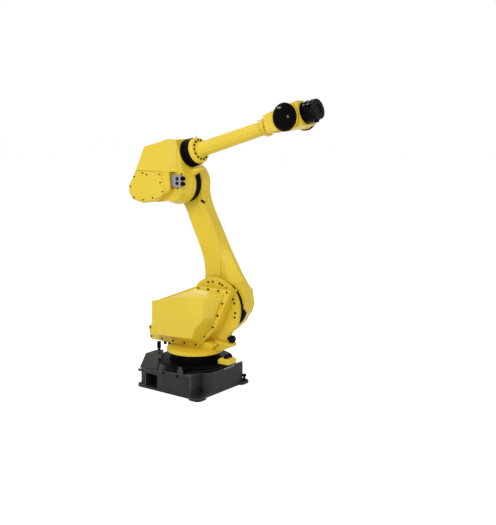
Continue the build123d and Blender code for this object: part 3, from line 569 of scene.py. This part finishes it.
# Rubber stop on its stem, and the gusset that carries it
stopRubber = {"place": (292.0, 14.0, 374.0),
              "profile": [(0, -14), (12, -14), (12, 7), (24, 7), (26, 10), (26, 24), (24, 32), (17, 38),
                          (8, 41), (0, 41.5)]}
buildPiece("domedStopRubber", "turret", "mouldedRubber",
           [turnedShell(inMetres(*stopRubber["place"]), toFront, stopRubber["profile"])], ["stop_rubber"])
stopGusset = {"outline": [(323, 349), (320, 336), (300, 320), (272, 303), (240, 288), (205, 276), (180, 276),
                          (180, 349)], "facesY": (38.0, -10.0), "edge": 4.0}
buildPiece("stopGusset", "turret", "yellowEnamelOnCasting", [softened(
    ruledShell([(depth, stopGusset["outline"]) for depth in stopGusset["facesY"]]), stopGusset["edge"])])

# Two domed buffers on the turning stop
stopBuffers = {"radius": 274.0, "side": 20.0, "angle": 3.0, "sink": 0.5, "steps": 24,
               "profile": [(0, 0), (18, 0), (18.5, 8), (17, 15), (12, 21), (6, 24), (0, 25)]}
stopOut = Vector((*polar(1, stopBuffers["angle"]), 0))
stopFoot = stopOut * stopBuffers["radius"] / 1000 + inMetres(0, 0, topFace("turn_stop") - stopBuffers["sink"])
stopStep = toTop.cross(stopOut) * stopBuffers["side"] / 1000
buildPiece("domedStopBuffers", "base", "mouldedRubber", [
    turnedShell(place, toTop, stopBuffers["profile"], stopBuffers["steps"])
    for place in (stopFoot - stopStep, stopFoot + stopStep)], ["stop_buffers"])

# Black plate over the slot near the elbow, painted shade for the dark inside of the slot
slotShadePlate = {"across": 98.0, "along": 712.0, "angle": -45.0, "length": 40.0, "width": 17.0, "sink": 0.4,
            "proud": 2.0}
slotCos, slotSin = polar(1, slotShadePlate["angle"])
slotRight = armFront * slotCos + armUp * slotSin
slotUp = armUp * slotCos - armFront * slotSin
slotHalf = (slotShadePlate["length"] - slotShadePlate["width"]) / 2
slotArc = [(end, polar(slotShadePlate["width"] / 2, angle))
           for end, first in ((1, -90), (-1, 90)) for angle in range(first, first + 181, 30)]
buildPiece("slotShadePlate", "upper_arm", "mouldedRubber", [plateShell(
    armPoint(slotShadePlate["across"], slotShadePlate["along"], armSide + slotShadePlate["sink"]), slotRight, slotUp,
    [(end * slotHalf + x, y) for end, (x, y) in slotArc], slotShadePlate["proud"])])

# Buffer that the arm carries beside its seal, where it meets the turret at the end of its swing
swingBuffer = {"inner": 198.0, "start": -27.0, "end": 2.0, "steps": 8, "sink": 0.5, "thickness": 14.0,
               "edge": 2.0, "outer": [(3, 224), (-2, 242), (-9, 235), (-18, 222), (-27, 206)]}
bufferOutline = ([polar(swingBuffer["inner"], angle)
                  for angle in spread(swingBuffer["start"], swingBuffer["end"], swingBuffer["steps"])]
                 + [polar(radius, angle) for angle, radius in swingBuffer["outer"]])
buildPiece("swingBuffer", "upper_arm", "mouldedRubber", [plateShell(
    shoulder + inMetres(0, armSide + swingBuffer["sink"], 0), toFront, toTop, bufferOutline,
    swingBuffer["thickness"], swingBuffer["edge"])])

# Threaded couplings on the elbow's two connectors
couplings = {
    "root": (114.0, -113.0, 27.0), "step": 18.0,
    "profile": [(0, -2), (13, -2), (13, 3), (12, 4), (8.5, 4.5), (8.5, 9), (12, 9.5), (12.6, 11), (12.6, 19),
                (12, 20.5), (9, 21), (9, 25), (8, 26), (0, 26)],
}
couplingRoots = [elbow + inMetres(*couplings["root"]) + inMetres(0, 0, side)
                 for side in (-couplings["step"], couplings["step"])]
buildPiece("panelCouplings", "elbow_housing", "glossPolyamideCover",
           [turnedShell(root, toFront, couplings["profile"]) for root in couplingRoots], ["panel_connectors"])

# Raised border and two round blanking caps on the connector panel's face
panelFace = {"left": 33.0, "right": 111.0, "low": -9.0, "high": 63.0, "thickness": 1.6, "edge": 0.6}
panelSide = rightFace("connector_panel")
buildPiece("panelFacePlate", "elbow_housing", "greyEnamelOnSheet", [plateShell(
    elbow + inMetres(0, panelSide, 0), toFront, toTop,
    [(panelFace["left"], panelFace["low"]), (panelFace["right"], panelFace["low"]),
     (panelFace["right"], panelFace["high"]), (panelFace["left"], panelFace["high"])],
    panelFace["thickness"], panelFace["edge"])])
panelCaps = {"points": [(84, 42), (84, 12)], "steps": 20,
             "profile": [(0, -1), (11, -1), (11, 5), (9, 7), (5, 7.6), (0, 7.6)]}
buildPiece("panelBlankCaps", "elbow_housing", "glossPolyamideCover", [
    turnedShell(elbow + inMetres(x, panelSide - panelFace["thickness"], z), toRight, panelCaps["profile"],
                panelCaps["steps"]) for x, z in panelCaps["points"]])

# Ball-headed grease nipples in place of the plain pins. Each stands along and above the forearm's axis
greaseNipples = {
    "steps": 16,
    "profile": [(0, -1), (5, -1), (5, 3), (4.6, 3.6), (2.8, 4), (2.8, 7), (4.2, 8.4), (4.2, 9.8), (2.6, 11.4),
                (0, 11.9)],
    "places": {"flangeGreaseNipple": (228.0, 87.2, "flange_nipple"),
               "tubeGreaseNipple": (742.0, 46.2, "tube_nipple")},
}
for nippleName, (along, above, node) in greaseNipples["places"].items():
    foot = forearmRoot + (forearmDir * along + forearmUp * above) / 1000
    buildPiece(nippleName, "forearm", "zincPlatedSteel",
               [turnedShell(foot, forearmUp, greaseNipples["profile"], greaseNipples["steps"])], [node])

# Black drain plugs under the motor cover's flange
drainPlugs = {"points": [(-232, -50), (-192, -50)], "topZ": 285.5, "steps": 18,
              "profile": [(0, 0), (12, 0), (12, 5), (11, 6), (11, 15), (9, 18), (0, 18)]}
buildPiece("drainPlugs", "turret", "mouldedRubber", [
    turnedShell(inMetres(x, y, drainPlugs["topZ"]), -toTop, drainPlugs["profile"], drainPlugs["steps"])
    for x, y in drainPlugs["points"]])

# Plugs in the two lifting threads of the base's side
liftingPlugs = {"points": [(-64, 140), (59, 137)], "faceY": -257.8, "steps": 22,
                "profile": [(0, 0), (10, 0), (10, 1.2), (9, 1.8), (6.5, 1.8), (5.5, 0.6), (0, 0.6)]}
buildPiece("liftingPlugs", "base", "blackEnamelOnSteel", [
    turnedShell(inMetres(x, liftingPlugs["faceY"], z), toRight, liftingPlugs["profile"],
                liftingPlugs["steps"]) for x, z in liftingPlugs["points"]])

# Pointer block at the turning joint's edge, near the base's side
pointerBlock = {"outline": [(-23, 0), (23, 0), (23, 22), (15, 26), (15, 44), (-15, 44), (-15, 26), (-23, 22)],
                "place": (81.0, -246.5, 157.5), "thickness": 10.0, "edge": 2.0}
buildPiece("pointerBlock", "base", "brownEnamelOnSheet", [plateShell(
    inMetres(*pointerBlock["place"]), toFront, toTop, pointerBlock["outline"], pointerBlock["thickness"],
    pointerBlock["edge"])])

# Seat plate of the turning stop on the base's front edge
stopSeat = {"length": 112.0, "height": 8.0, "place": (236.6, 16.0, 149.5), "thickness": 2.5, "edge": 0.8}
buildPiece("stopSeatPlate", "base", "greyEnamelOnSheet", [plateShell(
    inMetres(*stopSeat["place"]), toLeft, toTop,
    [(0, 0), (stopSeat["length"], 0), (stopSeat["length"], stopSeat["height"]), (0, stopSeat["height"])],
    stopSeat["thickness"], stopSeat["edge"])])

# Levelling jack bolt on the far front foot: washer, nut, stud and ball head
jackBolt = {
    "place": (242.0, 238.0, 19.5), "steps": 20, "nutRadius": 13.0, "nutFoot": 4.5, "nutHeight": 9.0,
    "profile": [(0, 0), (17, 0), (17, 4), (16, 5), (10, 5), (10, 14), (9, 16), (8, 18), (8, 28), (12, 31),
                (15, 37), (15, 42), (12, 47), (6, 50), (0, 50.5)],
}
jackFoot = inMetres(*jackBolt["place"])
nutOutline = [polar(jackBolt["nutRadius"], 60 * i) for i in range(6)]
buildPiece("footJackBolt", "base", "blackEnamelOnSteel", [
    turnedShell(jackFoot, toTop, jackBolt["profile"], jackBolt["steps"]),
    plateShell(jackFoot + inMetres(0, 0, jackBolt["nutFoot"]), toFront, toLeft, nutOutline,
               jackBolt["nutHeight"])])

# Two screws on the flat top of the cable hood
hoodPoints = [(-282, -108), (-232, -108)]
makeScrews("hoodScrews", "base", [
    (inMetres(x, y, topFace("cable_bracket")), toTop) for x, y in hoodPoints], "m8")

# Power and signal sockets inside the opening at the back of the base
rearSockets = {"points": [(-42, 64), (42, 64)], "wallX": -255.5, "steps": 32,
               "profile": [(0, 0), (27, 0), (27, 6), (25, 8), (21, 8), (21, 24), (19, 26), (16, 26), (15, 14),
                           (0, 14)]}
buildPiece("rearSockets", "base", "glossPolyamideCover", [
    turnedShell(inMetres(rearSockets["wallX"], y, z), -toFront, rearSockets["profile"], rearSockets["steps"])
    for y, z in rearSockets["points"]])
print("stage: fittings made")

# Pale floor, soft lights and the photograph's camera, all in metres and watts
stageLook = {
    "floorTone": 0.86, "floorGlow": 0.6, "floorReach": 40.0, "floorDrop": 0.0005, "worldLight": 0.46,
    "lamps": {
        "keyLamp": {"place": (1.0, -5.0, 4.2), "target": (0, 0, 0.9), "size": 1.6, "power": 85},
        "fillLamp": {"place": (5.0, -2.5, 2.6), "target": (0.2, 0, 0.9), "size": 2.2, "power": 75},
        "rimLamp": {"place": (-2.5, 3.5, 4.0), "target": (0, 0, 1.0), "size": 2.0, "power": 55},
        # Small lamps that give the black wrist cover and the tool unit their highlights
        "lowerGlint": {"place": (-1.1, -4.1, 1.85), "target": (0.8, 0, 1.8), "size": 0.2, "power": 9},
        "upperGlint": {"place": (-1.16, -2.33, 2.46), "target": (0.8, 0, 1.8), "size": 0.12,
                       "power": 4.5},
        "upperGlintTwin": {"place": (-1.34, -2.21, 2.45), "target": (0.8, 0, 1.8), "size": 0.12,
                           "power": 4.5},
        "toolGlint": {"place": (-1.28, -0.5, 3.89), "target": (0.9, 0, 1.9), "size": 0.3, "power": 14},
    },
}


def seenDirectly(tree, place):
    # 1 where the camera, a reflection or a view through glass meets the surface, else 0
    path = addNode(tree, "ShaderNodeLightPath", place)
    both = addNode(tree, "ShaderNodeMath", (place[0] + 200, place[1]), {"operation": "ADD"}, links={
        0: path.outputs["Is Camera Ray"], 1: path.outputs["Is Glossy Ray"]})
    return addNode(tree, "ShaderNodeMath", (place[0] + 400, place[1]), {
        "operation": "ADD", "use_clamp": True}, links={
        0: both.outputs["Value"], 1: path.outputs["Is Transmission Ray"]})


def whiteBackdrop(name, tone, glow):
    # Matt white floor whose glow is for the eye alone, so it meets the white room and keeps a soft shadow
    material = bpy.data.materials.new(name)
    material.use_nodes = True
    tree = material.node_tree
    tree.nodes.clear()
    output = addNode(tree, "ShaderNodeOutputMaterial", (600, 0))
    matt = addNode(tree, "ShaderNodeBsdfDiffuse", (0, 0), inputs={"Color": (tone, tone, tone, 1)})
    seen = seenDirectly(tree, (-800, -200))
    level = addNode(tree, "ShaderNodeMath", (-200, -200), {"operation": "MULTIPLY"}, {1: glow}, {
        0: seen.outputs["Value"]})
    light = addNode(tree, "ShaderNodeEmission", (0, -200), inputs={"Color": (1, 1, 1, 1)}, links={
        "Strength": level.outputs["Value"]})
    both = addNode(tree, "ShaderNodeAddShader", (300, 0), links={
        0: matt.outputs["BSDF"], 1: light.outputs["Emission"]})
    tree.links.new(both.outputs["Shader"], output.inputs["Surface"])
    return material


reach, drop = stageLook["floorReach"], stageLook["floorDrop"]
floorMesh = bpy.data.meshes.new("floor")
floorMesh.from_pydata([(x * reach, y * reach, -drop) for x, y in ((-1, -1), (1, -1), (1, 1), (-1, 1))], [],
                      [(0, 1, 2, 3)])
floorMesh.materials.append(whiteBackdrop("paleFloor", stageLook["floorTone"], stageLook["floorGlow"]))
floor = linkMesh("floor", floorMesh)

world = bpy.data.worlds.new("paleRoom")
bpy.context.scene.world = world
world.use_nodes = True
worldTree = world.node_tree
worldTree.nodes.clear()
worldOut = addNode(worldTree, "ShaderNodeOutputWorld", (600, 0))
soft = addNode(worldTree, "ShaderNodeBackground", (0, 100), inputs={
    "Color": (1, 1, 1, 1), "Strength": stageLook["worldLight"]})
white = addNode(worldTree, "ShaderNodeBackground", (0, -100), inputs={"Color": (1, 1, 1, 1), "Strength": 1.0})
pick = addNode(worldTree, "ShaderNodeMixShader", (300, 0), links={
    "Fac": seenDirectly(worldTree, (-600, 300)).outputs["Value"], 1: soft.outputs["Background"],
    2: white.outputs["Background"]})
worldTree.links.new(pick.outputs["Shader"], worldOut.inputs["Surface"])


def areaLamp(name, place, target, size, power):
    data = bpy.data.lights.new(name, "AREA")
    data.shape = "DISK"
    data.size = size
    data.energy = power
    lamp = bpy.data.objects.new(name, data)
    bpy.context.scene.collection.objects.link(lamp)
    lamp.location = place
    lamp.rotation_euler = (Vector(target) - Vector(place)).to_track_quat("-Z", "Y").to_euler()
    return lamp


for lampName, lampSettings in stageLook["lamps"].items():
    areaLamp(lampName, **lampSettings)

# Fitted to the photograph: place in metres, angles in degrees, lens in millimetres
cameraView = {"place": (3.8981, -4.5797, 1.8984), "pitch": 80.21, "yaw": 36.95, "lens": 61.714,
              "sensor": 36.0, "clipEnd": 100.0}
cameraData = bpy.data.cameras.new("photoCamera")
cameraData.sensor_fit = "AUTO"
cameraData.sensor_width = cameraView["sensor"]
cameraData.lens = cameraView["lens"]
cameraData.clip_end = cameraView["clipEnd"]
camera = bpy.data.objects.new("photoCamera", cameraData)
bpy.context.scene.collection.objects.link(camera)
camera.location = cameraView["place"]
camera.rotation_euler = (math.radians(cameraView["pitch"]), 0, math.radians(cameraView["yaw"]))
bpy.context.scene.camera = camera
bpy.context.scene.view_settings.view_transform = "Standard"
print("stage: stage set")
